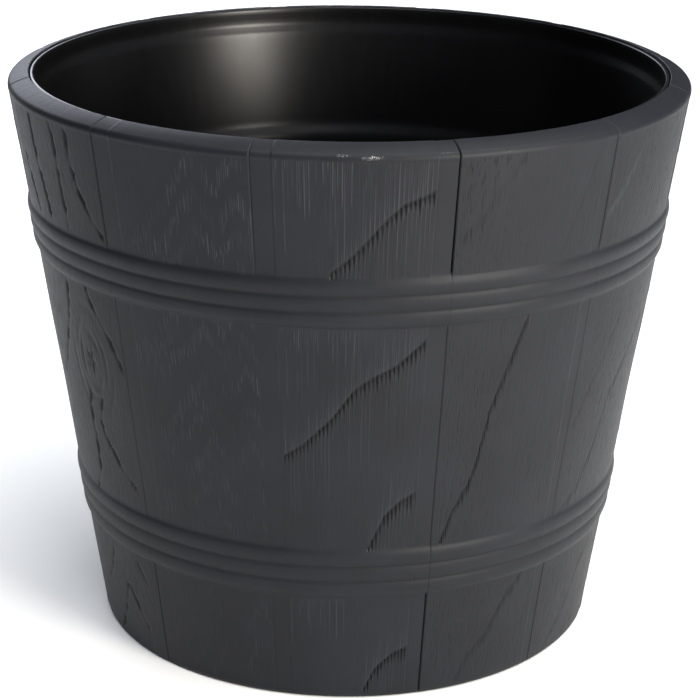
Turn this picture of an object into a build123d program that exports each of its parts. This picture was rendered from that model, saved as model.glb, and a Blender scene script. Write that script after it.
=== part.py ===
"""Barrel-look plastic planter: a wood-effect outer shell, a smooth lift-out liner and push-in drain plugs.

The frame is in millimetres, +Z up, with its origin on the ground at the middle of the base.
The front of the planter faces -Y. Every angle is measured from the front, positive to the right.
"""
from build123d import *

import os
from math import cos, pi, radians, sin

os.makedirs("parts", exist_ok=True)

# Overall form of the shell: a cone that widens upwards to a broad turned-in rim
rim_corner_diameter = 400.6
base_diameter = 304.0
overall_height = 338.0
crown_drop = 4.5
lip_width = 12.8

# Thicknesses and edges of the shell's moulding
shell_wall = 4.0
lip_thickness = 4.5
shoulder_chamfer = 2.8
lip_root_chamfer = 2.5
shell_floor_chamfer = 5.0

# Base of the shell: a foot ring round a recessed floor
base_edge_chamfer = 3.0
foot_width = 9.0
recess_height = 9.0
shell_floor = 4.0
under_rib_count = 8
under_rib_width = 3.0
under_rib_depth = 4.0
hub_outer_radius = 34.0
hub_inner_radius = 30.0

# Stave joints: shallow flat strips from the rim's inner edge down to the ground, not quite evenly spaced
joint_angles = (-75.0, -41.3, -13.1, 14.9, 43.9, 74.0, 104.5, 135.0, 165.0, 194.5, 224.5, 254.5)
joint_width = 10.0
joint_depth = 1.0

# Hoops: three half-round ribs each, given by the height of the hoop's upper edge and the ribs' pitch.
# Each half round is drawn as a few flats, which are conical bands once turned.
hoop_tops = (264.5, 99.5)
hoop_pitches = (9.2, 10.0)
hoop_ribs = 3
rib_flats = 4
rib_height = 1.8
hoop_land = 0.3
hoop_root = 1.6

# Drain holes and their plugs
drain_count = 4
drain_circle_radius = 95.0
drain_hole_diameter = 18.0
boss_margin = 4.0
boss_height = 2.0
plug_clearance = 0.05
plug_head_lap = 4.0
plug_head_thickness = 3.0
plug_sink = 0.5
plug_cup_wall = 3.45
plug_cup_floor = 2.0
plug_lead_in = 1.0
plug_tab_length = 16.0
plug_tab_width = 3.0
plug_tab_height = 2.0

# Liner: an upright collar, a sloping step, a tapered wall with one stacking shoulder, and a raised floor
liner_clearance = 0.6
liner_wall = 2.2
liner_rim_drop = 1.2
collar_depth = 13.0
collar_step = 1.5
collar_step_height = 2.0
stacking_depth = 79.0
stacking_step = 2.5
stacking_height = 5.0
liner_foot_gap = 10.9
liner_foot_height = 6.0
liner_floor = 2.5
liner_floor_chamfer = 4.0
liner_edge_chamfer = 0.6
liner_hole_diameter = 8.0
liner_hole_count = 6
liner_hole_circle_radius = 80.0
foot_notch_count = 6
foot_notch_width = 18.0
foot_notch_height = 3.5

# Values worked out from the driving dimensions
rim_radius = rim_corner_diameter / 2
base_radius = base_diameter / 2
opening_radius = rim_radius - lip_width
wall_top = overall_height - crown_drop
floor_top = recess_height + shell_floor
foot_inner_radius = base_radius - foot_width
taper_per_mm = (rim_radius - base_radius) / wall_top
crown_slope = crown_drop / lip_width
lip_lower_edge = overall_height - lip_thickness
lip_root = lip_lower_edge - crown_slope * (rim_radius - shell_wall - opening_radius)
boss_face = recess_height - boss_height
plug_head_radius = drain_hole_diameter / 2 + plug_head_lap
plug_stem_radius = drain_hole_diameter / 2 - plug_clearance
plug_stem_length = floor_top - boss_face - plug_sink


def wall_radius(height):
    """Radius of the stave faces at a height above the ground."""
    return base_radius + taper_per_mm * height


def corner(sketch, radius, height):
    """The sketch's vertex that lies nearest to a point of the half section."""
    return sketch.vertices().sort_by_distance((radius, height))[0]


def hoop_points(top, pitch):
    """A hoop's section, from its upper edge down: each rib bulges as half a sine wave over a raised land."""
    bottom = top - hoop_ribs * pitch
    points = [(wall_radius(top) - hoop_root, top), (wall_radius(top), top)]
    for flat in range(1, hoop_ribs * rib_flats):
        height = top - flat / rib_flats * pitch
        bulge = hoop_land + rib_height * abs(sin(pi * flat / rib_flats))
        points.append((wall_radius(height) + bulge, height))
    points.append((wall_radius(bottom), bottom))
    points.append((wall_radius(bottom) - hoop_root, bottom))
    return points


# Outer shell: the turned half section, then joints, hoops, bosses, ribs and drain holes
inner_wall_top = wall_radius(lip_root) - shell_wall
inner_wall_bottom = wall_radius(floor_top) - shell_wall
with BuildPart() as outer_shell:
    with BuildSketch(Plane.XZ) as shell_section:
        with BuildLine():
            Polyline(
                (0, recess_height),
                (foot_inner_radius, recess_height),
                (foot_inner_radius, 0),
                (base_radius, 0),
                (rim_radius, wall_top),
                (opening_radius, overall_height),
                (opening_radius, lip_lower_edge),
                (inner_wall_top, lip_root),
                (inner_wall_bottom, floor_top),
                (0, floor_top),
                close=True,
            )
        make_face()
        chamfer(corner(shell_section, base_radius, 0), base_edge_chamfer)
        chamfer(corner(shell_section, rim_radius, wall_top), shoulder_chamfer)
        chamfer(corner(shell_section, inner_wall_top, lip_root), lip_root_chamfer)
        chamfer(corner(shell_section, inner_wall_bottom, floor_top), shell_floor_chamfer)
    revolve(axis=Axis.Z)

    # Each joint strip is a flat cut of even depth up the wall, round the shoulder and over the crown
    for angle in joint_angles:
        with BuildSketch(Plane.XZ.rotated((0, 0, angle - 90))) as strip_section:
            with BuildLine():
                Polyline(
                    (wall_radius(base_edge_chamfer) - joint_depth, base_edge_chamfer),
                    (rim_radius - joint_depth, wall_top),
                    (opening_radius, overall_height - joint_depth),
                    (opening_radius, overall_height + joint_depth),
                    (rim_radius + joint_depth, overall_height + joint_depth),
                    (rim_radius + joint_depth, base_edge_chamfer),
                    close=True,
                )
            make_face()
            chamfer(corner(strip_section, rim_radius - joint_depth, wall_top), shoulder_chamfer)
        extrude(amount=joint_width / 2, both=True, mode=Mode.SUBTRACT)

    # The hoops are part of the moulding and bridge the joints
    for top, pitch in zip(hoop_tops, hoop_pitches):
        with BuildSketch(Plane.XZ):
            with BuildLine():
                Polyline(*hoop_points(top, pitch), close=True)
            make_face()
        revolve(axis=Axis.Z)

    # Under the floor: a hub ring, radial ribs between it and the foot, and a boss round each drain hole
    with BuildSketch(Plane.XY.offset(recess_height)):
        Circle(hub_outer_radius)
        Circle(hub_inner_radius, mode=Mode.SUBTRACT)
    extrude(amount=-under_rib_depth)
    with BuildSketch(Plane.XY.offset(recess_height)):
        rib_middle_radius = (hub_outer_radius + foot_inner_radius) / 2
        rib_angle = 360 / under_rib_count
        with PolarLocations(rib_middle_radius, under_rib_count, start_angle=rib_angle / 2):
            Rectangle(foot_inner_radius - hub_outer_radius + under_rib_width, under_rib_width)
    extrude(amount=-under_rib_depth)
    with BuildSketch(Plane.XY.offset(boss_face)):
        with PolarLocations(drain_circle_radius, drain_count):
            Circle(plug_head_radius + boss_margin)
    extrude(amount=boss_height)
    with BuildSketch(Plane.XY.offset(boss_face)):
        with PolarLocations(drain_circle_radius, drain_count):
            Circle(drain_hole_diameter / 2)
    extrude(amount=floor_top, mode=Mode.SUBTRACT)

outer_shell.part.label = "outer_shell"
export_step(outer_shell.part, "parts/outer_shell.step")


# Inner liner: the inside face is set out first, and the outside follows it one wall thickness away
collar_radius = opening_radius - liner_clearance - liner_wall
liner_top = overall_height - liner_rim_drop
collar_bottom = overall_height - collar_depth
step_bottom = collar_bottom - collar_step_height
stacking_top = overall_height - stacking_depth
stacking_bottom = stacking_top - stacking_height
liner_floor_under = floor_top + liner_foot_height
liner_floor_top = liner_floor_under + liner_floor
foot_radius = inner_wall_bottom - liner_foot_gap - liner_wall
tapered_height = step_bottom - stacking_top + stacking_bottom - floor_top
liner_slope = (collar_radius - collar_step - stacking_step - foot_radius) / tapered_height
stacking_upper_radius = collar_radius - collar_step - (step_bottom - stacking_top) * liner_slope
stacking_lower_radius = stacking_upper_radius - stacking_step


def liner_lower_radius(height):
    """Inside radius of the liner's wall below its stacking shoulder."""
    return stacking_lower_radius - (stacking_bottom - height) * liner_slope


inside_points = [
    (collar_radius, liner_top),
    (collar_radius, collar_bottom),
    (collar_radius - collar_step, step_bottom),
    (stacking_upper_radius, stacking_top),
    (stacking_lower_radius, stacking_bottom),
]
outside_points = [(radius + liner_wall, height) for radius, height in inside_points]

with BuildPart() as inner_liner:
    with BuildSketch(Plane.XZ) as liner_section:
        with BuildLine():
            Polyline(
                (0, liner_floor_top),
                (liner_lower_radius(liner_floor_top), liner_floor_top),
                *reversed(inside_points),
                *outside_points,
                (foot_radius + liner_wall, floor_top),
                (foot_radius, floor_top),
                (liner_lower_radius(liner_floor_under), liner_floor_under),
                (0, liner_floor_under),
                close=True,
            )
        make_face()
        chamfer(corner(liner_section, liner_lower_radius(liner_floor_top), liner_floor_top), liner_floor_chamfer)
        chamfer(corner(liner_section, collar_radius, liner_top), liner_edge_chamfer)
        chamfer(corner(liner_section, collar_radius + liner_wall, liner_top), liner_edge_chamfer)
    revolve(axis=Axis.Z)

    # Notches let water run out from under the liner's raised floor
    with BuildSketch(Plane.XY.offset(floor_top)):
        with PolarLocations(foot_radius, foot_notch_count):
            Rectangle(foot_notch_width, foot_notch_width)
    extrude(amount=foot_notch_height, mode=Mode.SUBTRACT)

    # Drain holes in the liner's floor
    with Locations((0, 0, liner_floor_top)):
        with PolarLocations(liner_hole_circle_radius, liner_hole_count):
            Hole(liner_hole_diameter / 2, depth=liner_floor)

inner_liner.part.label = "inner_liner"
export_step(inner_liner.part, "parts/inner_liner.step")


def make_drain_plug(number, angle):
    """One push-in plug: a flat head against the boss, a cupped stem up the hole and a finger tab below."""
    outward = (cos(radians(angle)), sin(radians(angle)), 0)
    centre = (drain_circle_radius * outward[0], drain_circle_radius * outward[1], boss_face)
    head_plane = Plane(origin=centre, x_dir=outward, z_dir=(0, 0, 1))
    with BuildPart() as drain_plug:
        with BuildSketch(head_plane):
            Circle(plug_head_radius)
        extrude(amount=-plug_head_thickness)
        with BuildSketch(head_plane):
            Circle(plug_stem_radius)
        extrude(amount=plug_stem_length)
        chamfer(drain_plug.edges().sort_by(Axis.Z)[-1], plug_lead_in)
        with BuildSketch(head_plane.offset(plug_stem_length)):
            Circle(plug_stem_radius - plug_cup_wall)
        extrude(amount=plug_cup_floor - plug_stem_length, mode=Mode.SUBTRACT)
        with BuildSketch(head_plane.offset(-plug_head_thickness)):
            SlotOverall(plug_tab_length, plug_tab_width)
        extrude(amount=-plug_tab_height)
    name = f"drain_plug_{number}"
    drain_plug.part.label = name
    export_step(drain_plug.part, f"parts/{name}.step")


for index in range(drain_count):
    make_drain_plug(index + 1, index * 360 / drain_count)
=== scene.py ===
"""Looks of a barrel-look planter in dark wood-effect plastic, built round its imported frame.

Lengths in the formulas are in millimetres, and each azimuth is in degrees from the front (-Y), positive to the
right (+X). make_mesh turns a finished surface into metres in the frame.
"""
from math import atan, atan2, cos, degrees, pi, radians, sin, sqrt

import bmesh
import bpy
import numpy as np
from bpy.props import FloatProperty, FloatVectorProperty, PointerProperty
from mathutils import Matrix, Vector


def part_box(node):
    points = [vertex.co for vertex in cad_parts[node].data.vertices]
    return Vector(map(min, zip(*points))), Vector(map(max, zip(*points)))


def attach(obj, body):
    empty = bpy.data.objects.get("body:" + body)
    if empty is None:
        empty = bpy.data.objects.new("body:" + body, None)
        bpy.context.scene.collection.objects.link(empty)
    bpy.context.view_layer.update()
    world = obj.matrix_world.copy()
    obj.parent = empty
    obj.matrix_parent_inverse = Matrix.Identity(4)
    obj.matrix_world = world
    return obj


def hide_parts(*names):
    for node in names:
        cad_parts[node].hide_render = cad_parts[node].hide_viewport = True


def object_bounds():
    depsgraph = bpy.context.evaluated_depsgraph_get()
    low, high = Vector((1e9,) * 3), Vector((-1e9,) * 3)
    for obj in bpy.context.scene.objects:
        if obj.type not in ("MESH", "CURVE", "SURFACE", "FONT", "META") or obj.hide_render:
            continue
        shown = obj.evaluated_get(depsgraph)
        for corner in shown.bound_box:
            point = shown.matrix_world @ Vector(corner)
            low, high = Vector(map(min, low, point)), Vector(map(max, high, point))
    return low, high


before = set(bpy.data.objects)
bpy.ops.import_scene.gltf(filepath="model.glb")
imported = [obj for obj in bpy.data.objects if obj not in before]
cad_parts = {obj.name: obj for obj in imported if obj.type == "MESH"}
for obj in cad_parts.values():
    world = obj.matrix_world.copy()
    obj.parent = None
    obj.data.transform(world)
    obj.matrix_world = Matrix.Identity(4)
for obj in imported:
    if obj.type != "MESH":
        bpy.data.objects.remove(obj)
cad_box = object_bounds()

bl_info = {
    "name": "Barrel-look planter",
    "version": (1, 0, 0),
    "blender": (4, 5, 0),
    "location": "View3D > Sidebar > Planter",
    "description": "A moulded wood-effect planter with hoops, a lift-out liner and drain plugs",
    "category": "Add Mesh",
}

MM = 0.001
MERGE_DISTANCE = 2e-6
SHARP_ANGLE = 18.0
LEVEL_COSINE = 0.9999
NO_TRIANGLES = np.zeros((0, 3), int)
SHELL_NODE = "outer_shell"
LINER_NODE = "inner_liner"
shell_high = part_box(SHELL_NODE)[1]
liner_low, liner_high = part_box(LINER_NODE)

# Stave joints round the shell, clockwise from the left edge of the knotted stave: the azimuth of the joint's
# middle, the azimuths of its plain strip's two edges, and the depth of the crack along each edge
JOINTS = (
    (-75.0, -76.6, -73.4, 0.3, 0.5),
    (-41.3, -43.1, -39.4, 0.6, 0.15),
    (-13.1, -14.75, -11.5, 0.5, 0.3),
    (14.9, 13.3, 16.5, 0.25, 1.5),
    (44.6, 43.6, 45.7, 0.2, 0.5),
    (74.0, 72.5, 75.6, 0.3, 0.4),
    (104.5, 102.8, 106.0, 0.6, 0.2),
    (135.0, 133.5, 136.8, 0.3, 0.9),
    (165.0, 163.3, 166.6, 0.4, 0.3),
    (194.5, 193.0, 196.2, 0.2, 1.2),
    (224.5, 223.0, 226.1, 0.5, 0.2),
    (254.5, 252.9, 256.0, 0.3, 0.6),
)

# Grain of each stave in the same order: its pattern, whether it is mirrored, how far it is moved up, and how
# proud the stave stands
STAVES = (
    ("knot", False, 0.0, -0.05),
    ("chevrons", False, 0.0, -0.15),
    ("ledges", False, 0.0, -0.1),
    ("flecks", False, 0.0, 0.1),
    ("bands", False, 0.0, 0.0),
    ("ledges", True, -16.0, -0.1),
    ("knot", True, 24.0, 0.0),
    ("chevrons", True, 7.0, -0.15),
    ("flecks", True, -12.0, 0.1),
    ("ledges", False, 21.0, -0.1),
    ("chevrons", False, -9.0, 0.0),
    ("bands", True, 14.0, -0.05),
)

# Growth-ring ledges of the plain stave: points of azimuth from the stave's left joint and height, with the
# length of the slits that hang from the ledge
RING_LEDGES = (
    (((10, 267), (13, 275), (15, 282), (19, 298), (21.5, 306), (26.6, 313)), 7.5),
    (((1.4, 157), (5.5, 166), (10.5, 182), (14.5, 200), (17.5, 207), (21.5, 214),
      (26.4, 229)), 7.5),
    (((17, 98), (18.9, 111), (20.5, 122), (23, 130), (26.2, 136)), 9),
    (((16.8, 3), (19.6, 20), (23, 29.5), (26.6, 34)), 8.5),
)

# Long jagged cracks of the flecked stave, in the same form
JAGGED_CRACKS = (
    (((2.2, 284), (5.6, 295), (8.7, 312), (12.6, 330)), 6, 0.42),
    (((3.2, 98), (5.6, 120), (8.4, 137), (9.8, 156), (11.1, 181), (13.6, 205), (16.9, 238)), 5.5, 1.3),
    (((9.8, 3), (12.4, 21), (17, 36), (19.3, 51), (24.2, 70)), 6, 0.5),
    (((20.5, 265), (22.8, 280), (24.2, 295), (26.8, 324)), 5, 0.2),
)

# Steep ring lines of the far stave, fainter
FAINT_CRACKS = (
    (((1.8, 286), (5.5, 300), (9.4, 324)), 6, -0.2),
    (((2.4, 158), (7.4, 188), (13.2, 221)), 6, 0.16),
    (((1.7, 98), (8, 113), (11.1, 130), (14.9, 168), (25.2, 205)), 7, 0.22),
    (((5.4, 3), (10.2, 17), (13.2, 32), (17.1, 55), (21.2, 64)), 6, 0.2),
)

# Open checks of the knotted stave, as heights and azimuths from the left joint, with the depth of the check
OPEN_CHECKS = (
    ((268, 285, 305, 330), (15, 13.9, 12.6, 12.3), 1),
    ((268, 330), (21, 20.5), 0.8),
    ((268, 279, 292, 310, 330), (31.6, 28.8, 26.5, 25, 24.7), 1),
    ((268, 290, 302), (9.4, 7.3, 6.2), 0.8),
    ((168, 187, 210, 236), (6.5, 10.3, 14.5, 16.8), 0.9),
    ((100, 116, 138, 156, 168), (13.7, 16.9, 17.5, 17.1, 18.5), 1),
    ((190, 210, 227, 237), (31.2, 28.1, 24.3, 23.2), 0.8),
    ((113, 126, 142, 150, 167), (30.4, 25.4, 21.6, 20.7, 22.7), 0.9),
    ((26, 45, 63), (6.7, 12.8, 16.3), 0.6),
    ((4, 19, 43), (13, 16.6, 20.4), 0.9),
    ((17, 27, 43), (26.6, 24.2, 20.5), 0.8),
    ((50, 65), (28.6, 25.4), 0.5),
)
KNOT = (21.3, 188.5)

# Chevron bands: how far a band lies below its peak, by azimuth from the stave's left joint
CHEVRON_AZIMUTHS = (2, 7, 13, 17, 20.6, 24.2, 27)
CHEVRON_DROPS = (52, 44, 22, 0, 19, 1, 15)
CHEVRON_PEAKS = (330, 309, 287.5, 266, 248, 228, 206, 186, 163, 141, 118, 82, 60, 36)

# Heights, in millimetres, at which the panels between the hoops start and the grain ends under the rim
RIM_PANEL_FOOT = 266.0
MIDDLE_PANEL_FOOT = 100.0
THREAD_TOP = 331.0
GRAIN_TOP = 330.6
GRAIN_FOOT = 3.0

# How far the moulded face lies inside the frame's plain one, so that no reed or rib stands out of it
INSET = 0.12
UNDULATION = 0.1
TRIM_WAVE = 0.12


def linear(code):
    """An sRGB hex code as linear red, green and blue: each channel through the sRGB transfer curve."""
    channels = [int(code[i:i + 2], 16) / 255 for i in (1, 3, 5)]
    return tuple(c / 12.92 if c <= 0.04045 else ((c + 0.055) / 1.055) ** 2.4 for c in channels)


class PlanterSizes(bpy.types.PropertyGroup):
    """Sizes of the planter's surfaces, in metres."""

    rim_corner_diameter: FloatProperty(
        name="Rim corner", description="Where the wall's and the crown's lines meet", default=0.4006, unit="LENGTH")
    base_diameter: FloatProperty(
        name="Base", description="Diameter of the wall at the ground", default=0.304, unit="LENGTH")
    overall_height: FloatProperty(
        name="Height", description="From the ground to the rim's inner edge", default=shell_high.z, unit="LENGTH")
    crown_drop: FloatProperty(
        name="Crown drop", description="How far the rim falls towards its outside", default=0.0045, unit="LENGTH")
    lip_width: FloatProperty(
        name="Lip width", description="Width of the turned-in rim", default=0.0128, unit="LENGTH")
    shell_wall: FloatProperty(
        name="Shell wall", description="Wall thickness of the shell", default=0.004, unit="LENGTH")
    reed_pitch: FloatProperty(
        name="Reed pitch", description="Spacing of the reeding under the rim", default=0.0012, unit="LENGTH")
    rib_height: FloatProperty(
        name="Rib height", description="How far a hoop's rib stands out", default=0.0013, unit="LENGTH")


class PlanterColours(bpy.types.PropertyGroup):
    """Colours of the planter's plastics and of the stage."""

    shell: FloatVectorProperty(
        name="Shell", description="Charcoal plastic", subtype="COLOR", default=linear("#14161b"))
    # Painted shade for the grain's cuts, the joints' cracks and the hoops' valleys
    groove_shade: FloatVectorProperty(
        name="Grooves", description="Plastic deep in the grain", subtype="COLOR", default=linear("#0b0c0e"))
    # Painted highlight for the raised reeds and the rim's inner edge, standing also for rubbing wear
    highlight_and_wear: FloatVectorProperty(
        name="Worn reeds", description="Plastic on the raised reeds", subtype="COLOR", default=linear("#3f4146"))
    scuff: FloatVectorProperty(
        name="Scuffs", description="Stress-whitened scratches", subtype="COLOR", default=linear("#a3a4a4"))
    liner: FloatVectorProperty(
        name="Liner", description="Black plastic", subtype="COLOR", default=linear("#060607"))
    rubber: FloatVectorProperty(
        name="Plugs", description="Black rubber", subtype="COLOR", default=linear("#161616"))
    floor: FloatVectorProperty(
        name="Floor", description="Pale studio floor", subtype="COLOR", default=linear("#f8f8f6"))


def ramp(x):
    """0 below 0, 1 above 1 and straight in between."""
    return np.clip(x, 0.0, 1.0)


def ease(x):
    """0 below 0, 1 above 1 and the smooth cubic 3t^2 - 2t^3 in between."""
    t = ramp(x)
    return t * t * (3 - 2 * t)


def bell(x):
    """The bell curve exp(-x^2)."""
    return np.exp(-x * x)


def waves(azimuth, height, seed, count=6, azimuth_wave=24.0, height_wave=90.0):
    """Slow undulation of about -1 to 1: the mean of a few sine waves with seeded directions and phases. The
    number of waves round the planter is whole, so it closes on itself."""
    rng = np.random.default_rng(seed)
    total = 0.0
    for _ in range(count):
        around = max(1, round(360 / (azimuth_wave * rng.uniform(0.6, 1.8))))
        up = 2 * pi / (height_wave * rng.uniform(0.5, 1.6)) * rng.choice((-1, 1))
        total = total + np.sin(np.radians(azimuth) * around + height * up + rng.uniform(0, 2 * pi))
    return total / sqrt(count)


class Wall:
    """The shell's half section in millimetres, worked out from the sizes, and its rows from ground to rim."""

    base_edge = 3.5
    shoulder = 4.0
    inner_edge = 0.5
    crown_bulge = 0.35
    lip_thickness = 4.5
    lip_root_chamfer = 2.5
    floor_level = 19.0
    hoop_tops = (264.5, 99.5)
    hoop_pitches = (9.2, 10.0)
    hoop_ribs = 3
    hoop_land = 0.3
    hoop_margin = 1.5
    row_step = 1.6
    hoop_row_step = 0.8

    def __init__(self, sizes):
        self.rim_radius = sizes.rim_corner_diameter / 2 / MM
        self.base_radius = sizes.base_diameter / 2 / MM
        self.height = sizes.overall_height / MM
        self.top = self.height - sizes.crown_drop / MM
        self.opening = self.rim_radius - sizes.lip_width / MM
        self.thickness = sizes.shell_wall / MM
        self.rib_height = sizes.rib_height / MM
        self.taper = (self.rim_radius - self.base_radius) / self.top
        self.tilt = atan(self.taper)
        self.crown_angle = atan2(sizes.lip_width, sizes.crown_drop)
        self.reed_angle = degrees(sizes.reed_pitch / MM / (self.rim_radius - self.shoulder))

    def radius(self, height):
        """Radius of the stave faces at a height: a straight line from the base to the rim's corner."""
        return self.base_radius + self.taper * height

    def corner_centre(self, corner, angle_a, angle_b, radius):
        """Centre of the arc that rounds a corner between two faces whose normals point along two angles."""
        a = np.array((cos(angle_a), sin(angle_a)))
        b = np.array((cos(angle_b), sin(angle_b)))
        return np.array(corner) - radius * (a + b) / (1 + a @ b)

    def rows(self):
        """Radius, height and normal angle of each row: an arc at the base, the wall, an arc at the shoulder, the
        slightly bulged crown, an arc at the inner edge and the upright trimmed edge. The last column is 0 on the
        wall, 1 on the crown and 2 on the trimmed edge."""
        down, wall, crown, inward = -pi / 2, -self.tilt, self.crown_angle, pi
        base_centre = self.corner_centre((self.base_radius, 0), down, wall, self.base_edge)
        shoulder_centre = self.corner_centre((self.rim_radius, self.top), wall, crown, self.shoulder)
        inner_centre = self.corner_centre((self.opening, self.height), crown, inward, self.inner_edge)
        pieces = []

        def add(radius, height, angle, part):
            pieces.append(np.stack(np.broadcast_arrays(radius, height, angle, part), axis=1))

        def arc(centre, radius, start, end, count, part):
            angle = np.linspace(start, end, count)
            add(centre[0] + radius * np.cos(angle), centre[1] + radius * np.sin(angle), angle, part)

        arc(base_centre, self.base_edge, down, wall, 6, 0.0)
        marks = [pieces[-1][-1, 1]]
        for top, pitch in sorted(zip(self.hoop_tops, self.hoop_pitches)):
            marks += [top - pitch * self.hoop_ribs - self.hoop_margin, top + self.hoop_margin]
        high = shoulder_centre[1] + self.shoulder * sin(wall)
        marks += [high - 4, high]
        steps = (self.row_step, self.hoop_row_step) * 3
        heights = [np.linspace(a, b, max(2, round((b - a) / step)), endpoint=False)
                   for a, b, step in zip(marks[:-1], marks[1:], steps)]
        heights = np.concatenate(heights)[1:]
        add(self.radius(heights), heights, wall, 0.0)
        arc(shoulder_centre, self.shoulder, wall, crown, 8, 0.5)
        start = pieces[-1][-1, :2]
        outward = np.array((cos(crown), sin(crown)))
        inner_start = inner_centre + self.inner_edge * outward
        share = np.linspace(0, 1, 12)[1:-1, None]
        bulge = self.crown_bulge * 4 * share * (1 - share)
        along = start + (inner_start - start) * share + bulge * outward
        add(along[:, 0], along[:, 1], crown, 1.0)
        arc(inner_centre, self.inner_edge, crown, inward, 5, 1.0)
        add(self.opening, np.linspace(inner_centre[1], self.height - self.lip_thickness, 6)[1:], inward, 2.0)
        return np.concatenate(pieces)

    def inner_points(self):
        """Radius and height of the wall's hidden side, from the lip's underside down to the floor's level and the
        ground, the way the frame's shell has it."""
        slope = (self.height - self.top) / (self.rim_radius - self.opening)
        lip = self.height - self.lip_thickness
        root = lip - slope * (self.rim_radius - self.thickness - self.opening)
        chamfer = self.lip_root_chamfer
        inside = lambda height: self.radius(height) - self.thickness
        lip_inner = inside(root) - chamfer * sin(self.crown_angle)
        points = [(lip_inner, root + chamfer * cos(self.crown_angle)),
                  (inside(root - chamfer), root - chamfer)]
        points += [(inside(height), height) for height in np.linspace(root - chamfer, self.floor_level, 14)[1:]]
        return np.array(points)


def hoop_relief(wall, height):
    """How far the hoops stand out of the wall at each height, and where they are. A rib is (1 - x^2) to a power
    just over a half, with x from -1 to 1 across its pitch, so that ribs are round and meet in narrow valleys. The
    hoop's land rises and falls gently over its outer ribs."""
    relief, cover, valley_shade = np.zeros((3, *height.shape))
    for top, pitch in zip(wall.hoop_tops, wall.hoop_pitches):
        share = (top - height) / pitch
        inside = (share > 0) & (share < wall.hoop_ribs)
        across = 2 * (share % 1.0) - 1
        rib = np.power(np.clip(1 - across * across, 0, 1), 0.62)
        end = ease(share / 0.5) * ease((wall.hoop_ribs - share) / 0.35)
        relief += np.where(inside, wall.hoop_land * end + wall.rib_height * rib, 0.0)
        # Where the valleys between the ribs lie, for the painted shade in them
        valley_shade = np.maximum(valley_shade, (share > 0.5) * inside * bell((share - np.round(share)) * pitch / 0.9))
        cover = np.maximum(cover, ramp((share + 0.12) / 0.1) * ramp((wall.hoop_ribs + 0.12 - share) / 0.1))
    return relief, cover, valley_shade


class Reeds:
    """One stave's columns. Each reed is three columns wide, so its ridge or groove always falls on the middle one.
    Every second ridge is the stronger one, and the slits lie between those."""

    def __init__(self, wall, left, right, joint_left, joint_right, mirrored, seed):
        self.count = round((right - left) / wall.reed_angle)
        self.azimuth = np.linspace(left, right, 3 * self.count + 1)[None, :]
        column = np.arange(3 * self.count + 1)[None, :]
        self.index = np.minimum(column // 3, self.count - 1)
        self.phase = column % 3
        self.ridge = (self.phase == 1) * np.where(self.index % 2 == 1, 1.0, 0.5)
        self.pair = ((self.index % 2 == 0) & (self.phase > 0)).astype(float)
        self.width = (right - left) / self.count
        self.local = self.azimuth - joint_left
        self.middle = left + (self.index + 0.5) * self.width - joint_left
        if mirrored:
            self.local = joint_right - joint_left - self.local
            self.middle = joint_right - joint_left - self.middle
        self.rng = np.random.default_rng(seed)

    def draw(self, low=0.0, high=1.0):
        """One seeded random number for each reed, given to its three columns."""
        return self.rng.uniform(low, high, self.count)[self.index]


def ledge(reeds, height, points, slit_length):
    """A growth ring's ledge: the surface steps down under the line and comes back over 30 mm, dark slits hang from
    the line at every second reed, and fine raised reeds run out above and below it by seeded lengths."""
    azimuths, heights = np.array(points).T
    line = np.interp(reeds.middle, azimuths, heights)
    on = ramp((reeds.middle - azimuths[0]) / 0.6) * ramp((azimuths[-1] - reeds.middle) / 0.6)
    below = line - height
    under = ramp(below / 1.4 + 0.5)
    length = slit_length * reeds.draw(0.6, 1.35)
    step = -0.25 * under * np.exp(-np.clip(below, 0, None) / 16)
    lip = -0.45 * bell((below - 0.8) / 1.0)
    slits = -reeds.draw(0.6, 1.1) * under * ramp((length - below) / (0.6 * length)) * reeds.pair
    reach = reeds.draw(14, 60)
    fade_below = under * ramp(1 - below / reach)
    rise = reeds.draw(6, 34)
    fade_above = (1 - under) * ramp(1 + below / rise)
    threads = 0.28 * reeds.ridge * (fade_below * ramp(below / 5) + fade_above * reeds.draw(0.3, 0.9))
    return on * (step + lip + slits + threads)


def jagged(reeds, height, points, slit_length, depth):
    """A steep crack of overlapping slits, one to a reed: each runs from where the line enters its reed down past
    where it leaves it."""
    azimuths, heights = np.array(points).T
    here = np.interp(reeds.middle - reeds.width / 2, azimuths, heights)
    there = np.interp(reeds.middle + reeds.width / 2, azimuths, heights)
    on = (reeds.middle > azimuths[0]) & (reeds.middle < azimuths[-1])
    top = np.maximum(here, there) + reeds.draw(0, 1.5)
    bottom = np.minimum(here, there) - slit_length * reeds.draw(0.3, 1.2)
    inside = ramp((top - height) / 1.4 + 0.5) * ramp((height - bottom) / 3.0)
    side = np.where(reeds.phase == 0, 0.2, np.where(reeds.phase == 1, 1.0, 0.35))
    return -depth * on * inside * side * reeds.draw(0.6, 1.15)


def open_check(reeds, height, heights, azimuths, depth):
    """A nearly upright check that follows an azimuth by height and hops from reed to reed, with seeded thin
    places where it almost closes."""
    line = np.interp(height, heights, azimuths)
    snapped = (np.floor(line / reeds.width) + 0.5) * reeds.width
    on = ramp((height - heights[0]) / 2) * ramp((heights[-1] - height) / 2)
    phase = reeds.rng.uniform(0, 6.3, 2)
    open_share = 0.45 + 0.75 * np.sin(height / 3.4 + phase[0]) * np.sin(height / 10.5 + phase[1])
    open_share = open_share + 0.3 * np.sin(height / 1.7 + phase[1])
    across = (reeds.local - snapped) / (1.05 * reeds.width)
    return -1.4 * depth * on * (0.18 + 0.82 * ramp(open_share)) * bell(across)


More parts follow.
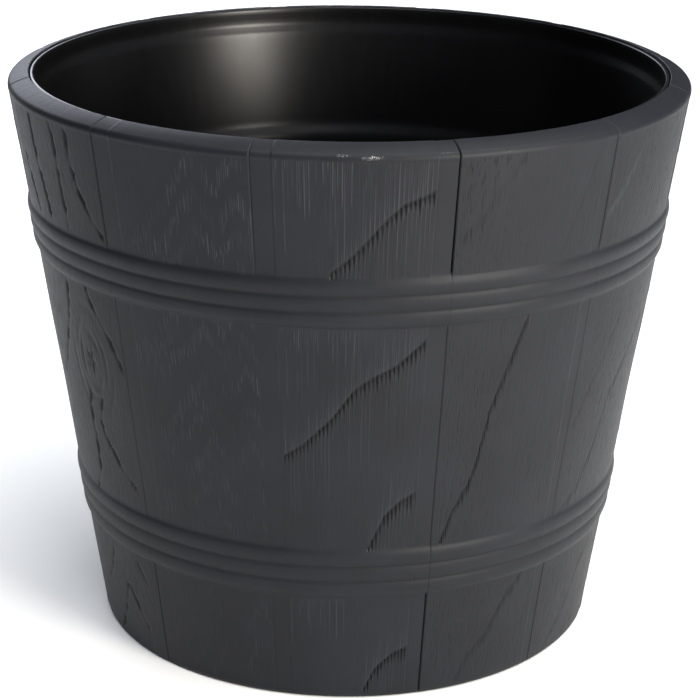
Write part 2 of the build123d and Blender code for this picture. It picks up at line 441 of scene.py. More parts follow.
def flecks(reeds, height, depth, pitch, length, share):
    """A field of short upright nicks: each reed is cut into seeded cells, and a share of them holds a nick."""
    cell = (height + reeds.draw(0, pitch)) / pitch
    number = np.floor(cell).astype(int)
    table = reeds.rng.uniform(0, 1, (reeds.count, 400))
    chance = table[reeds.index, number % 400]
    along = (cell - number) * pitch
    shape = ramp(along / 1.2) * ramp((length - along) / 1.2)
    across = np.where(reeds.phase == 1, 1.0, np.where(reeds.phase == 2, 0.5, 0.0))
    return -depth * (chance < share) * shape * across * (0.4 + 0.6 * chance / share)


def threads_from(reeds, height, start, reach, rise):
    """Fine raised reeds that hang from a height down to seeded lengths."""
    below = start - height
    length = reach * reeds.draw(0.0, 1.0) ** 2 + 4
    hanging = reeds.ridge * ramp(below) * ramp((length - below) / 6)
    return rise * hanging * reeds.draw(0.3, 1.0) * (reeds.draw() < 0.88)


def pattern_ledges(reeds, height):
    """Plain stave: four ring ledges, threads that hang from the rim and under the hoops, and a few faint nicks."""
    total = sum(ledge(reeds, height, points, length) for points, length in RING_LEDGES)
    left = ramp((17 - reeds.local) / 6)
    total = total + threads_from(reeds, height, THREAD_TOP, 62.0, 0.34) * (0.3 + 0.7 * left)
    total = total + threads_from(reeds, height, 236.0, 45.0, 0.26) * (0.25 + 0.75 * left)
    total = total + threads_from(reeds, height, 68.0, 34.0, 0.22) * left
    return total + flecks(reeds, height, 0.08, 23.0, 15.0, 0.4)


def pattern_chevrons(reeds, height):
    """Crown-cut grain: bands of short raised threads that rise and fall as chevrons, weaker to the left and down
    the stave."""
    drop = np.interp(reeds.middle, CHEVRON_AZIMUTHS, CHEVRON_DROPS)
    total = 0.0
    for peak in CHEVRON_PEAKS:
        steepness, tilt = reeds.rng.uniform(0.7, 1.15), reeds.rng.uniform(-0.4, 0.4)
        middle = peak - drop * steepness + tilt * (reeds.middle - 18) + reeds.draw(-3.5, 3.5)
        half = reeds.draw(2.5, 7.5)
        strength = 0.16 + 0.24 * ramp((peak - 130) / 150)
        patch = 0.5 + 0.6 * np.sin(reeds.middle * reeds.rng.uniform(0.3, 0.9) + reeds.rng.uniform(0, 6.3))
        weight = ramp(0.35 + reeds.middle / 14) * ramp(0.35 + patch) * reeds.draw(0.25, 1.0)
        total = total + strength * weight * reeds.ridge * ramp((half - np.abs(height - middle)) / 2.5)
    return total + flecks(reeds, height, 0.05, 17.0, 11.0, 0.5)


def pattern_flecks(reeds, height):
    """Rough-sawn grain: a dense field of nicks crossed by long jagged cracks."""
    total = sum(jagged(reeds, height, *crack) for crack in JAGGED_CRACKS)
    for offset in (13.0, 24.0, 36.0):
        points = tuple((azimuth, level + offset) for azimuth, level in JAGGED_CRACKS[0][0])
        total = total + jagged(reeds, height, points, 4.0, 0.4) * (reeds.draw() < 0.6)
    rough = 0.35 + 0.65 * ramp((17 - reeds.local) / 8)
    total = total + flecks(reeds, height, 0.3, 8.5, 4.6, 0.35) * rough
    total = total + flecks(reeds, height, 0.2, 5.3, 2.8, 0.3) * rough
    return total + flecks(reeds, height, 0.12, 27.0, 19.0, 0.5)


def pattern_bands(reeds, height):
    """Slanting grain: faint steep ring lines over a sparse field of nicks."""
    total = sum(jagged(reeds, height, *crack) for crack in FAINT_CRACKS)
    total = total + flecks(reeds, height, 0.12, 9.0, 5.0, 0.3)
    return total + flecks(reeds, height, 0.07, 31.0, 22.0, 0.5)


def pattern_knot(reeds, height):
    """Knotted stave: open checks that part round a knot, the knot's broken rings and its star-shaped heart."""
    total = sum(open_check(reeds, height, *check) for check in OPEN_CHECKS)
    across = (reeds.local - KNOT[0]) / 3.3
    up = (height - KNOT[1]) / 17.0
    ring = np.sqrt(across * across + up * up)
    turn = np.arctan2(up, across)
    for size, depth in ((1.0, 0.45), (1.45, 0.3), (2.0, 0.22)):
        broken = ramp(0.55 + 0.6 * np.sin(3 * turn + 5 * size))
        total = total - depth * broken * bell((ring - size) / 0.13)
    star = 0.55 + 0.35 * np.cos(5 * turn + 0.6)
    total = total - 0.5 * ramp((star * 0.62 - ring) / 0.2)
    return total + flecks(reeds, height, 0.12, 14.0, 9.0, 0.45)


PATTERNS = {
    "knot": pattern_knot,
    "chevrons": pattern_chevrons,
    "ledges": pattern_ledges,
    "flecks": pattern_flecks,
    "bands": pattern_bands,
}


def joint_relief(azimuth, width_at, height, strips):
    """The joints' strips: a shallow flat strip with a crack along each edge, as depth below the staves, the depth
    of the cracks alone, and the share of each point that lies inside a strip. The cracks are deepest in the panel
    under the rim and get wider down it."""
    depth = np.zeros(np.broadcast_shapes(azimuth.shape, width_at.shape))
    inside = np.zeros_like(depth)
    cracks = np.zeros_like(depth)
    under_rim = height > RIM_PANEL_FOOT
    panel = np.where(under_rim, 1.0, np.where(height > MIDDLE_PANEL_FOOT, 0.22, 0.6))
    widening = 0.18 + 0.2 * ramp((333 - height) / 65)
    for _, left, right, left_crack, right_crack in strips:
        from_left = (azimuth - left) * width_at
        from_right = (right - azimuth) * width_at
        share = ramp(from_left / 0.45 + 0.5) * ramp(from_right / 0.45 + 0.5)
        inside = np.maximum(inside, share)
        depth = np.maximum(depth, np.where(under_rim, 0.35, 0.25) * share)
        pair = left_crack * bell(from_left / widening) + right_crack * bell(from_right / widening)
        cracks = cracks + panel * pair
    return depth + cracks, cracks, inside


def zip_chains(fine, coarse, ties):
    """Triangles that join a chain of many points to one of few. ties gives, for each fine point, the coarse point
    it belongs to, and rises by at most one."""
    ends = np.stack([fine[:-1], fine[1:], coarse[ties[:-1]]], axis=1)
    rise = np.flatnonzero(np.diff(ties))
    fills = np.stack([fine[rise + 1], coarse[ties[rise + 1]], coarse[ties[rise]]], axis=1)
    return np.concatenate([ends, fills])


def grid_quads(numbers):
    """The quads of a grid of vertex numbers, rows first, turned anticlockwise as seen from columns x rows."""
    corners = [numbers[:-1, :-1], numbers[:-1, 1:], numbers[1:, 1:], numbers[1:, :-1]]
    return np.stack(corners, axis=-1).reshape(-1, 4)


def turn_points(radius, height, azimuth):
    """Points in millimetres of a radius, height and azimuth: x = r sin a, y = -r cos a, z = h."""
    angle = np.radians(azimuth)
    radius, height, angle = np.broadcast_arrays(radius, height, angle)
    return np.stack([radius * np.sin(angle), -radius * np.cos(angle), height], axis=-1)


def add_object(name, data):
    """A new object in the scene that holds a mesh, a light or a camera."""
    item = bpy.data.objects.new(name, data)
    bpy.context.scene.collection.objects.link(item)
    return item


def make_mesh(name, points, quads, triangles, smooth_quads):
    """A new object at the origin from points in millimetres. The first smooth_quads quads are shaded smooth. Every
    other face is flat and has sharp edges."""
    mesh = bpy.data.meshes.new(name)
    corners = np.concatenate([quads.ravel(), triangles.ravel()]).astype(np.int32)
    starts = np.concatenate([4 * np.arange(len(quads)), 4 * len(quads) + 3 * np.arange(len(triangles))])
    mesh.vertices.add(len(points))
    mesh.vertices.foreach_set("co", (points * MM).astype(np.float32).ravel())
    mesh.loops.add(len(corners))
    mesh.loops.foreach_set("vertex_index", corners)
    mesh.polygons.add(len(starts))
    mesh.polygons.foreach_set("loop_start", starts.astype(np.int32))
    mesh.polygons.foreach_set("use_smooth", np.arange(len(starts)) < smooth_quads)
    mesh.update(calc_edges=True)
    edge_of_corner = np.empty(len(mesh.loops), dtype=np.int32)
    mesh.loops.foreach_get("edge_index", edge_of_corner)
    sharp = np.zeros(len(mesh.edges), dtype=bool)
    sharp[edge_of_corner[4 * smooth_quads:]] = True
    mesh.attributes.new("sharp_edge", "BOOLEAN", "EDGE").data.foreach_set("value", sharp)
    return add_object(name, mesh)


def add_attribute(piece, name, values):
    """One number for each of a piece's first vertices and 0 for its hidden ones, which the material reads by
    name."""
    padded = np.zeros(len(piece.data.vertices), dtype=np.float32)
    padded[:values.size] = values.ravel()
    piece.data.attributes.new(name, "FLOAT", "POINT").data.foreach_set("value", padded)


def rim_scuffs(azimuth, radius, height, part):
    """Where the rim's shoulder has been scraped, from 0 to 1: one worn patch at the front and slight wear at seeded
    places all the way round, each a bell curve of the distance along and across the shoulder."""
    rng = np.random.default_rng(900)
    across = np.cumsum(np.hypot(np.diff(radius, axis=0, prepend=radius[:1]),
                                np.diff(height, axis=0, prepend=height[:1])), axis=0)
    shoulder = across[np.argmax(part[:, 0] > 0)]
    patches = [(-1.0, 3.0, 3.0, 0.96), (3.5, 4.5, 3.0, 1.0), (14.5, 4.0, 0.9, 1.0), (24.0, 3.0, 1.6, 0.9)]
    patches += [(rng.uniform(25, 350), rng.uniform(1.5, 6), rng.uniform(1.2, 2.5), rng.uniform(0.2, 0.55))
                for _ in range(22)]
    total = np.zeros(np.broadcast_shapes(azimuth.shape, radius.shape))
    for middle, width, spread, strength in patches:
        away = (azimuth - middle + 180) % 360 - 180
        up = shoulder + rng.uniform(0.5, 4.0)
        total = np.maximum(total, strength * bell(away / width) * bell((across - up) / spread))
    return total


def close_stave(name, wall, outside, row_heights, left, right):
    """Closes a stave's outside, a grid of points by row and column, with its hidden side and four narrow caps."""
    inner = wall.inner_points()
    inside = turn_points(inner[:, :1], inner[:, 1:], np.linspace(left, right, 13)[None, :])
    outer_numbers = np.arange(outside[..., 0].size).reshape(outside.shape[:2])
    inner_numbers = outer_numbers.size + np.arange(inside[..., 0].size).reshape(inside.shape[:2])
    column_ties = np.round(np.linspace(0, inside.shape[1] - 1, outside.shape[1])).astype(int)
    upward = inner[::-1, 1]
    row_ties = np.maximum.accumulate(np.searchsorted((upward[:-1] + upward[1:]) / 2, row_heights))
    triangles = np.concatenate([
        zip_chains(outer_numbers[-1], inner_numbers[0], column_ties),
        zip_chains(outer_numbers[0], inner_numbers[-1], column_ties)[:, ::-1],
        zip_chains(outer_numbers[:, 0], inner_numbers[::-1, 0], row_ties),
        zip_chains(outer_numbers[:, -1], inner_numbers[::-1, -1], row_ties)[:, ::-1],
    ])
    quads = np.concatenate([grid_quads(outer_numbers), grid_quads(inner_numbers)])
    points = np.concatenate([outside.reshape(-1, 3), inside.reshape(-1, 3)])
    return make_mesh(name, points, quads, triangles, len(quads))


def stave_sector(wall, number):
    """One stave of the shell as a closed solid, from the deeper crack of one joint to the deeper crack of the next.
    Its outside is the wall's section, moved along its normal by the hoops, joints, grain and a slow undulation."""
    strips = JOINTS[number:] + tuple((a + 360, b + 360, c + 360, d, e) for a, b, c, d, e in JOINTS[:number])
    left, right = (strip[1] if strip[3] > strip[4] else strip[2] for strip in strips[:2])
    pattern, mirrored, lift, proud = STAVES[number]
    reeds = Reeds(wall, left, right, strips[0][0], strips[1][0], mirrored, 40 + number)
    rows = wall.rows()
    radius, height, normal, part = (rows[:, i:i + 1] for i in range(4))
    relief, hoop_cover, valley_shade = hoop_relief(wall, height)
    on_wall = (part == 0) * ramp((height - GRAIN_FOOT) / 2)
    depth, cracks, strip = joint_relief(reeds.azimuth, np.radians(1) * radius, height, strips[:2])
    stave = on_wall * (1 - hoop_cover) * ramp(1 - 2 * strip)
    grain = PATTERNS[pattern](reeds, height - lift) * stave * ramp((GRAIN_TOP - height) / 1.2)

    moved = relief - INSET + UNDULATION * (waves(reeds.azimuth, height, 7) - 1) * ramp((wall.top - height) / 60)
    moved = moved + proud * stave + grain
    moved = moved - depth * (1 - 0.8 * hoop_cover) * (1 - 0.35 * (part > 0)) * ramp((2 - part) * 2)
    moved = moved - INSET * (part == 0) * (1 - hoop_cover) * ramp((331.2 - height) / 0.8)
    trim = waves(reeds.azimuth, 0 * height, 11, azimuth_wave=3.0) * (part >= 1) * ramp((part - 0.9) * 2)
    moved = moved + TRIM_WAVE * trim
    moved = np.where(height < GRAIN_FOOT, np.minimum(moved, 0) * ramp(height / GRAIN_FOOT), moved)
    outside = turn_points(radius + np.cos(normal) * moved, np.maximum(height + np.sin(normal) * moved, 0),
                          reeds.azimuth)
    piece = close_stave(f"stave_{number + 1:02d}", wall, outside, rows[:, 1], left, right)

    # Painted shade: the colour darkens in the grain's cuts, along the joints' cracks and in the hoops' valleys
    crack_shade = cracks / 0.6 * (1 - 0.85 * hoop_cover) * (part < 2)
    add_attribute(piece, "groove_shade", ramp(np.maximum(-grain / 0.7, crack_shade) + 0.6 * valley_shade))
    # Painted highlight, partly rubbing wear: the colour lightens on the raised reeds and along the rim's inner edge
    edge = 0.9 * ((part == 1) & (normal > wall.crown_angle + 0.3))
    rubbed_edge_highlight = edge * ramp(0.6 + 0.5 * waves(reeds.azimuth, height, 31, azimuth_wave=9.0))
    add_attribute(piece, "highlight_and_wear", np.maximum(ramp(grain / 0.4), rubbed_edge_highlight))
    add_attribute(piece, "scuff", rim_scuffs(reeds.azimuth, radius, height, part))
    return piece


def copy_of_node(node):
    """A merged copy of a frame node's mesh, as a bmesh, for the pieces that keep part of its shape."""
    mesh = bmesh.new()
    mesh.from_mesh(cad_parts[node].data)
    bmesh.ops.remove_doubles(mesh, verts=mesh.verts, dist=MERGE_DISTANCE)
    mesh.normal_update()
    return mesh


def finish_copy(mesh, name):
    """A new object from a bmesh, smooth except on its level faces and where its faces turn by more than an
    angle."""
    data = bpy.data.meshes.new(name)
    mesh.normal_update()
    for face in mesh.faces:
        face.smooth = abs(face.normal.z) < LEVEL_COSINE
    mesh.to_mesh(data)
    mesh.free()
    data.set_sharp_from_angle(angle=radians(SHARP_ANGLE))
    return add_object(name, data)


def cut_above(mesh, height):
    """Cuts a bmesh at a height in metres and drops what lies above."""
    everything = list(mesh.verts) + list(mesh.edges) + list(mesh.faces)
    bmesh.ops.bisect_plane(mesh, geom=everything, dist=1e-7, plane_co=(0, 0, height), plane_no=(0, 0, 1),
                           clear_outer=True)


def close_ring(mesh):
    """Joins the two open loops of a bmesh with a ring of faces and points every face outwards."""
    open_edges = [edge for edge in mesh.edges if edge.is_boundary]
    bmesh.ops.bridge_loops(mesh, edges=open_edges)
    bmesh.ops.recalc_face_normals(mesh, faces=mesh.faces)


def shell_floor_piece(wall):
    """The shell's floor with its drain holes, bosses, ribs and foot ring: the part of the frame's shell inside its
    outer wall and below the staves' hidden edge."""
    mesh = copy_of_node(SHELL_NODE)
    cut_above(mesh, wall.floor_level * MM)
    centres = [(face, face.calc_center_median()) for face in mesh.faces]
    outer = [face for face, centre in centres
             if centre.xy.length / MM > wall.radius(centre.z / MM) - wall.thickness / 2 - 0.6]
    bmesh.ops.delete(mesh, geom=outer, context="FACES")
    close_ring(mesh)
    return finish_copy(mesh, "shell_floor")


class LinerForm:
    """The liner's inside face in millimetres, from its top edge down, read as steps of the frame's liner."""

    wall = 2.2
    collar_depth = 11.8
    collar_step = 1.5
    collar_step_height = 2.0
    stacking_depth = 77.8
    stacking_step = 2.5
    stacking_height = 5.0
    foot_radius = 136.8
    edge = 0.7
    cut_level = 32.0
    columns = 256
    inner_rows = 110
    outer_rows = 56
    wave = 0.22

    def __init__(self):
        self.top = liner_high.z / MM
        self.collar = liner_high.x / MM - self.wall
        self.foot = liner_low.z / MM
        levels = [self.top - self.collar_depth, self.top - self.collar_depth - self.collar_step_height,
                  self.top - self.stacking_depth, self.top - self.stacking_depth - self.stacking_height]
        tapered = levels[1] - levels[2] + levels[3] - self.foot
        slope = (self.collar - self.collar_step - self.stacking_step - self.foot_radius) / tapered
        upper = self.collar - self.collar_step - (levels[1] - levels[2]) * slope
        lower = upper - self.stacking_step
        self.heights = np.array([self.top, *levels, self.cut_level])
        self.radii = np.array([self.collar, self.collar, self.collar - self.collar_step, upper, lower,
                               lower - (levels[3] - self.cut_level) * slope])

    def section(self):
        """Radius and height of the closed section: down the inside with eased steps, and up the outside."""
        height = np.linspace(self.top - self.edge, self.cut_level, self.inner_rows)
        smoothed = sum(np.interp(height + shift, self.heights[::-1], self.radii[::-1])
                       for shift in np.linspace(-1.6, 1.6, 9)) / 9
        angle = np.linspace(pi, 0, 9)
        rounding = np.stack([self.collar + self.wall / 2 + self.wall / 2 * np.cos(angle),
                             self.top - self.edge + self.edge * np.sin(angle)], axis=1)
        outer_height = np.linspace(self.top - self.edge, self.cut_level, self.outer_rows)
        outer = np.interp(outer_height, self.heights[::-1], self.radii[::-1]) + self.wall
        inside = np.stack([smoothed, height], axis=1)[::-1]
        return np.concatenate([inside, rounding[1:-1], np.stack([outer, outer_height], axis=1)])


def liner_wall_piece():
    """The liner's wall as a closed ring: its section turned about the axis, with the faint waves of a thin
    moulding, which pull the long highlight about."""
    form = LinerForm()
    radius, height = np.hsplit(form.section(), 2)
    azimuth = np.linspace(0, 360, form.columns, endpoint=False)[None, :]
    depth = ramp((form.top - 4 - height) / 25) * ramp((height - form.cut_level) / 20)
    wobble = form.wave * waves(azimuth, height, 21, count=5, azimuth_wave=40.0, height_wave=120.0)
    points = turn_points(radius + wobble * depth, height, azimuth)
    numbers = np.arange(points[..., 0].size).reshape(points.shape[:2])
    closed = np.concatenate([numbers, numbers[:, :1]], axis=1)
    quads = grid_quads(closed)
    last = np.stack([closed[-1, :-1], closed[-1, 1:], closed[0, 1:], closed[0, :-1]], axis=-1)
    facing_out = np.concatenate([quads, last])[:, ::-1]
    return make_mesh("liner_wall", points.reshape(-1, 3), facing_out, NO_TRIANGLES, len(quads))


def liner_base_piece():
    """The liner's floor, drain holes and notched foot: the part of the frame's liner below the wall's cut."""
    mesh = copy_of_node(LINER_NODE)
    cut_above(mesh, LinerForm.cut_level * MM)
    close_ring(mesh)
    return finish_copy(mesh, "liner_base")


def add_node(tree, kind, links=None, **settings):
    """Adds a node, sets its settings or the defaults of its sockets, and links {socket: source socket}."""
    node = tree.nodes.new(kind)
    for key, value in settings.items():
        if hasattr(node, key):
            setattr(node, key, value)
        else:
            node.inputs[key.replace("_", " ")].default_value = value
    for key, source in (links or {}).items():
        tree.links.new(source, node.inputs[key])
    return node


def new_material(name):
    """An empty node material with its output and shader, and the Object coordinates in metres."""
    material = bpy.data.materials.new(name)
    material.use_nodes = True
    tree = material.node_tree
    tree.nodes.clear()
    output = tree.nodes.new("ShaderNodeOutputMaterial")
    shader = tree.nodes.new("ShaderNodeBsdfPrincipled")
    tree.links.new(shader.outputs["BSDF"], output.inputs["Surface"])
    place = tree.nodes.new("ShaderNodeTexCoord").outputs["Object"]
    return material, tree, shader, place


def add_range(tree, source, low, high, to_low=0.0, to_high=1.0):
    """Maps low to high of a source to to_low to to_high, clamped."""
    node = add_node(tree, "ShaderNodeMapRange", {"Value": source})
    for name, value in zip(("From Min", "From Max", "To Min", "To Max"), (low, high, to_low, to_high)):
        node.inputs[name].default_value = value
    return node.outputs["Result"]


def add_noise(tree, place, scale, detail, roughness=0.5):
    """Fractal noise of 0 to 1 at a place."""
    node = add_node(tree, "ShaderNodeTexNoise", {"Vector": place}, Scale=scale, Detail=detail, Roughness=roughness)
    return node.outputs["Fac"]


def add_stretch(tree, place, across, up):
    """A place measured in pattern lengths of some millimetres across and up, for grain that runs upwards."""
    scale = (1 / across / MM, 1 / across / MM, 1 / up / MM)
    return add_node(tree, "ShaderNodeMapping", {"Vector": place}, Scale=scale).outputs["Vector"]


def add_product(tree, first, second):
    """The product of two numbers."""
    return add_node(tree, "ShaderNodeMath", {0: first, 1: second}, operation="MULTIPLY").outputs["Value"]


def add_shade(tree, tone, colour):
    """A fixed colour times a tone."""
    node = add_node(tree, "ShaderNodeVectorMath", {"Scale": tone}, operation="SCALE")
    node.inputs[0].default_value = colour
    return node.outputs["Vector"]


def add_mix(tree, share, under, colour):
    """A share of a fixed colour laid over another one."""
    node = add_node(tree, "ShaderNodeMix", {0: share, 6: under}, data_type="RGBA")
    node.inputs[7].default_value = (*colour, 1)
    return node.outputs[2]


def add_bump(tree, height, strength, depth, normal=None):
    """The normal of a texture of some millimetres' depth, on top of another normal if there is one."""
    links = {"Height": height} if normal is None else {"Height": height, "Normal": normal}
    return add_node(tree, "ShaderNodeBump", links, Strength=strength, Distance=depth * MM).outputs["Normal"]


def set_shader(tree, shader, links, values):
    """Links some of a shader's sockets to their sources and gives others a fixed value."""
    for name, source in links.items():
        tree.links.new(source, shader.inputs[name])
    for name, value in values.items():
        shader.inputs[name].default_value = value


def moulded_wood_plastic(colours):
    """Polypropylene, blow-moulded in a tool that was etched with wood grain: a satin charcoal with a fine upright
    pore grain, painted shade in the grain's cuts, the joints' cracks and the hoops' valleys, a painted highlight on
    the raised reeds and the rim's inner edge that also stands for rubbing wear, and pale where the rim was
    scratched."""
    material, tree, shader, place = new_material("polypropylene_moulded_wood_grain")
    pores = add_noise(tree, add_stretch(tree, place, 0.9, 14), 1.0, 3.0, 0.6)
    clouds = add_noise(tree, place, 1 / 45 / MM, 4.0, 0.62)
    etching = add_noise(tree, place, 1 / 0.7 / MM, 2.0)
    scratches = add_noise(tree, place, 1 / 0.55 / MM, 3.0, 0.7)
    groove_shade, highlight_and_wear, scuff = (add_node(tree, "ShaderNodeAttribute", attribute_name=name).outputs["Fac"]
                           for name in ("groove_shade", "highlight_and_wear", "scuff"))
    tone = add_product(tree, add_range(tree, clouds, 0.3, 0.7, 0.8, 1.22),
                       add_range(tree, pores, 0.3, 0.7, 0.92, 1.08))
    colour = add_shade(tree, tone, colours.shell)
    # Painted highlight, which also stands for rubbing wear: the lighter colour laid over the raised reeds and the
    # rim's inner edge
    colour = add_mix(tree, highlight_and_wear, colour, colours.highlight_and_wear)
    # Painted shade: the darker colour laid into the grain's cuts, the joints' cracks and the hoops' valleys
    colour = add_mix(tree, groove_shade, colour, colours.groove_shade)
    whitened = add_range(tree, add_product(tree, scratches, scuff), 0.5, 0.6)
    colour = add_mix(tree, whitened, colour, colours.scuff)
    normal = add_bump(tree, pores, 0.6, 0.08, add_bump(tree, etching, 0.35, 0.05))
    rough = add_range(tree, pores, 0.25, 0.75, 0.46, 0.6)
    set_shader(tree, shader, {"Base Color": colour, "Roughness": rough, "Normal": normal},
               {"IOR": 1.49, "Specular IOR Level": 0.22})
    return material


def gloss_black_plastic(colours):
    """Polypropylene, vacuum-formed and smooth: a soft-gloss black whose sheen is broken by faint upright draw marks
    and a little dust."""
    material, tree, shader, place = new_material("polypropylene_smooth_black")
    marks = add_noise(tree, add_stretch(tree, place, 5, 60), 1.0, 4.0, 0.55)
    dust = add_noise(tree, place, 1 / 1.4 / MM, 2.0)
    colour = add_shade(tree, add_range(tree, marks, 0.3, 0.7, 0.85, 1.15), colours.liner)
    rough = add_range(tree, marks, 0.25, 0.75, 0.3, 0.33)
    set_shader(tree, shader, {"Base Color": colour, "Roughness": rough, "Normal": add_bump(tree, dust, 0.12, 0.03)},
               {"IOR": 1.49, "Specular IOR Level": 0.23})
    return material


def moulded_rubber(colours):
    """EPDM rubber, compression-moulded: a dull black with a fine bloom and a soft grain."""
    material, tree, shader, place = new_material("epdm_moulded_rubber")
    bloom = add_noise(tree, place, 1 / 6 / MM, 4.0)
    grain = add_noise(tree, place, 1 / 0.5 / MM, 2.0)
    colour = add_shade(tree, add_range(tree, bloom, 0.3, 0.7, 0.8, 1.35), colours.rubber)
    set_shader(tree, shader, {"Base Color": colour, "Normal": add_bump(tree, grain, 0.4, 0.05)},
               {"Roughness": 0.75, "IOR": 1.52})
    return material


def studio_floor(colours):
    """Painted board, rolled: a matt off-white with a barely visible mottle."""
    material, tree, shader, place = new_material("painted_board")
    mottle = add_noise(tree, place, 6.0, 3.0)
    colour = add_shade(tree, add_range(tree, mottle, 0.3, 0.7, 0.98, 1.0), colours.floor)
    set_shader(tree, shader, {"Base Color": colour}, {"Roughness": 0.9})
    return material


def area_light(name, azimuth, elevation, distance, width, height, power, colour):
    """A rectangular soft light that looks at the planter's middle from an azimuth and elevation in degrees."""
    data = bpy.data.lights.new(name, "AREA")
    data.shape = "RECTANGLE"
    data.size, data.size_y = width, height
    data.energy = power
    data.color = colour
    light = add_object(name, data)
    a, e = radians(azimuth), radians(elevation)
    target = Vector((0, 0, cad_box[1].z / 2))
    away = Vector((sin(a) * cos(e), -cos(a) * cos(e), sin(e)))
    light.location = target + away * distance
    light.rotation_euler = (-away).to_track_quat("-Z", "Y").to_euler()
    return light


class PLANTER_OT_stage(bpy.types.Operator):
    """Makes the camera at the photograph's viewing angle, the pale floor and the soft studio light."""

    bl_idname = "planter.stage"
    bl_label = "Stage"

    # The camera was fitted to the rim, the sides, the base and the hoops, in a frame of 700 by 700 pixels
    frame_pixels = 700
    focal_pixels = 2135.4
    sensor = 36.0
    camera_distance = 1.2419
    camera_height = 0.602
    pitch = 0.34287
    roll = 0.01016
    yaw = 0.00147
    floor_half = 8000.0
    bright_side = (0.8, -0.55, 0.2)

    def execute(self, context):
        self.make_camera(context)
        self.make_floor(context)
        self.make_light(context)
        return {"FINISHED"}

    def make_camera(self, context):
        data = bpy.data.cameras.new("camera")
        data.sensor_width = self.sensor
        data.lens = self.sensor * self.focal_pixels / self.frame_pixels
        camera = add_object("camera", data)
        forward = Vector((sin(self.yaw) * cos(self.pitch), cos(self.yaw) * cos(self.pitch),
                          -sin(self.pitch)))
        right = Vector((cos(self.yaw), -sin(self.yaw), 0))
        up = right.cross(forward)
        rolled_right = right * cos(self.roll) + up * sin(self.roll)
        rolled_up = up * cos(self.roll) - right * sin(self.roll)
        turned = Matrix((rolled_right, rolled_up, -forward)).transposed().to_4x4()
        camera.matrix_world = Matrix.Translation((0, -self.camera_distance, self.camera_height)) @ turned
        context.scene.camera = camera

    def make_floor(self, context):
        points = self.floor_half * np.array([(-1, -1, 0), (1, -1, 0), (1, 1, 0), (-1, 1, 0)])
        floor = make_mesh("floor", points, np.array([[0, 1, 2, 3]]), NO_TRIANGLES, 0)
        floor.data.materials.append(studio_floor(context.scene.planter_colours))

    def make_light(self, context):
        area_light("key", 42.0, 13.0, 1.9, 0.55, 0.4, 46.0, linear("#fff8ee"))
        area_light("top", 50.0, 72.0, 3.4, 4.2, 4.2, 235.0, linear("#ffffff"))
        fill = area_light("left_fill", -95.0, 12.0, 2.4, 1.0, 1.0, 3.5, linear("#6f93f0"))
        fill.visible_glossy = False
        area_light("back_fill", 205.0, 24.0, 2.4, 1.4, 1.0, 24.0, linear("#eef3ff"))
        world = bpy.data.worlds.new("studio")
        world.use_nodes = True
        tree = world.node_tree
        direction = tree.nodes.new("ShaderNodeTexCoord").outputs["Generated"]
        towards_key = add_node(tree, "ShaderNodeVectorMath", {0: direction}, operation="DOT_PRODUCT")
        towards_key.inputs[1].default_value = self.bright_side
        strength = add_range(tree, towards_key.outputs["Value"], -0.6, 1.0, 0.05, 0.46)
        background = tree.nodes["Background"]
        background.inputs["Color"].default_value = (*linear("#dde5f4"), 1)
        tree.links.new(strength, background.inputs["Strength"])
        context.scene.world = world
        context.scene.view_settings.view_transform = "Standard"


class PLANTER_OT_stave_wall(bpy.types.Operator):
    """Makes the shell's twelve staves, with their hoops, joints, rim and wood grain."""

    bl_idname = "planter.stave_wall"
    bl_label = "Stave wall"

    def execute(self, context):
        wall = Wall(context.scene.planter_sizes)
        material = moulded_wood_plastic(context.scene.planter_colours)
        for number in range(len(STAVES)):
            piece = stave_sector(wall, number)
            piece.data.materials.append(material)
            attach(piece, "shell")
            if number == 0:
                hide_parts(SHELL_NODE)
        return {"FINISHED"}


class PLANTER_OT_shell_floor(bpy.types.Operator):
    """Makes the shell's floor, with its drain holes, bosses, ribs and foot ring."""

    bl_idname = "planter.shell_floor"
    bl_label = "Shell floor"

    def execute(self, context):
        piece = shell_floor_piece(Wall(context.scene.planter_sizes))
        piece.data.materials.append(bpy.data.materials["polypropylene_moulded_wood_grain"])
        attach(piece, "shell")
        return {"FINISHED"}


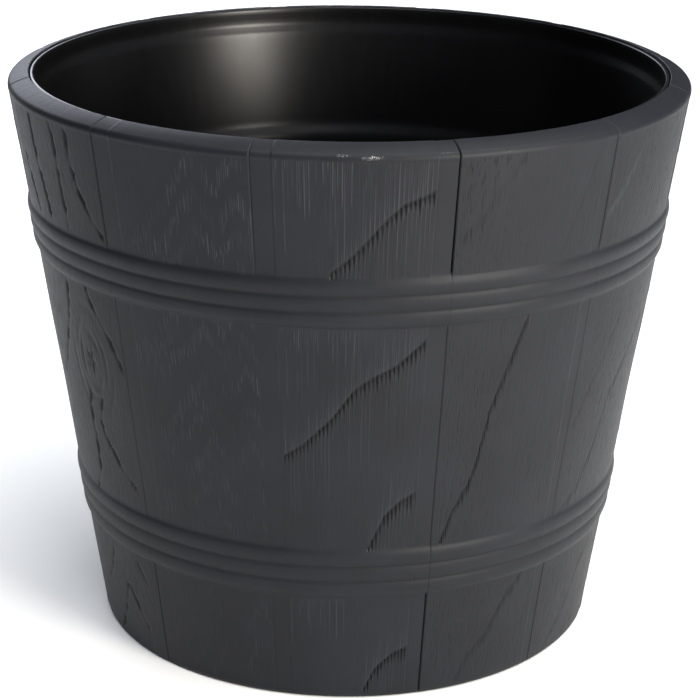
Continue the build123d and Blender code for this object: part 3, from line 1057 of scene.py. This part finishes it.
class PLANTER_OT_liner(bpy.types.Operator):
    """Makes the lift-out liner: its smooth wall, and its floor with drain holes and a notched foot."""

    bl_idname = "planter.liner"
    bl_label = "Liner"

    def execute(self, context):
        material = gloss_black_plastic(context.scene.planter_colours)
        for piece in (liner_wall_piece(), liner_base_piece()):
            piece.data.materials.append(material)
            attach(piece, "liner")
        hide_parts(LINER_NODE)
        return {"FINISHED"}


class PLANTER_OT_drain_plugs(bpy.types.Operator):
    """Gives the frame's four drain plugs their rubber."""

    bl_idname = "planter.drain_plugs"
    bl_label = "Drain plugs"

    def execute(self, context):
        material = moulded_rubber(context.scene.planter_colours)
        plugs = [piece for name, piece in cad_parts.items() if name.startswith("drain_plug")]
        if not plugs:
            raise RuntimeError("the frame has no drain plugs")
        for plug in plugs:
            plug.data.materials.clear()
            plug.data.materials.append(material)
        return {"FINISHED"}


class PLANTER_PT_panel(bpy.types.Panel):
    """Lists the planter's pieces in the order in which they are made."""

    bl_idname = "PLANTER_PT_panel"
    bl_label = "Planter"
    bl_space_type = "VIEW_3D"
    bl_region_type = "UI"
    bl_category = "Planter"

    def draw(self, context):
        for operator in OPERATORS:
            self.layout.operator(operator.bl_idname)


OPERATORS = (
    PLANTER_OT_stage,
    PLANTER_OT_stave_wall,
    PLANTER_OT_shell_floor,
    PLANTER_OT_liner,
    PLANTER_OT_drain_plugs,
)
CLASSES = (PlanterSizes, PlanterColours, *OPERATORS, PLANTER_PT_panel)


def register():
    for cls in CLASSES:
        bpy.utils.register_class(cls)
    bpy.types.Scene.planter_sizes = PointerProperty(type=PlanterSizes)
    bpy.types.Scene.planter_colours = PointerProperty(type=PlanterColours)


def unregister():
    del bpy.types.Scene.planter_colours
    del bpy.types.Scene.planter_sizes
    for cls in reversed(CLASSES):
        bpy.utils.unregister_class(cls)


def main():
    """Makes every piece in order."""
    register()
    bpy.ops.planter.stage()
    bpy.ops.planter.stave_wall()
    bpy.ops.planter.shell_floor()
    bpy.ops.planter.liner()
    bpy.ops.planter.drain_plugs()


if __name__ == "__main__":
    main()
